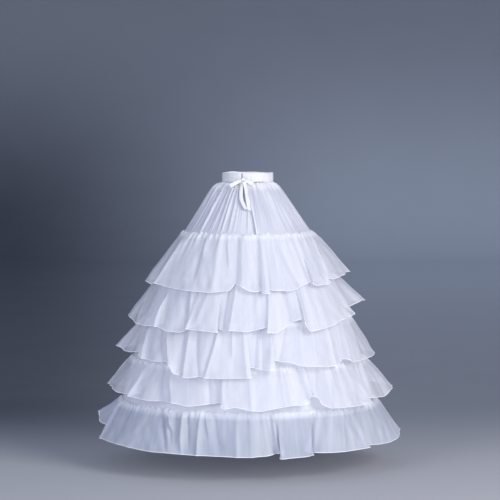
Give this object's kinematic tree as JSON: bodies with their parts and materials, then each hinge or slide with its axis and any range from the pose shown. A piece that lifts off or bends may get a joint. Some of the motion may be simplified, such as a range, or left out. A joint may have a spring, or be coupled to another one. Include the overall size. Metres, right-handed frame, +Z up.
{
  "type": "hooped petticoat",
  "caption": "Bell-shaped hooped petticoat with gathered ruffles in tiers, a gathered yoke and a drawstring waist tied in a bow; it holds a full skirt out.",
  "frame": {"origin": "on the skirt's axis, halfway up the waistband's opening", "axes": "+Z up along the skirt's axis, -Y towards the side with the tie, +X to the right of that view"},
  "size_m": [1.1131, 1.1159, 0.988],
  "materials": {
    "cloth": "matt, sheer",
    "lining": "matt",
    "ruffle": "soft sheen, sheer",
    "tape": "woven, matt",
    "hoop": "satin",
    "sleeve": "satin"
  },
  "bodies": {
    "root": {"waistband": "cloth", "drawstring": "tape", "drawstring_bow": "tape", "tie_end_left": "tape", "tie_end_right": "tape", "skirt_yoke": "cloth", "placket_facing": "cloth", "skirt_lining": "lining", "ruffle_1": "ruffle", "ruffle_2": "ruffle", "ruffle_3": "ruffle", "ruffle_4": "ruffle", "ruffle_5": "ruffle", "hoop_1": "hoop", "hoop_2": "hoop", "hoop_3": "hoop", "hoop_4": "hoop", "hoop_sleeve_1": "sleeve", "hoop_sleeve_2": "sleeve", "hoop_sleeve_3": "sleeve", "hoop_sleeve_4": "sleeve", "hoop_pocket_1": "tape", "hoop_pocket_2": "tape", "hoop_pocket_3": "tape", "hoop_pocket_4": "tape"}
  },
  "joints": []
}
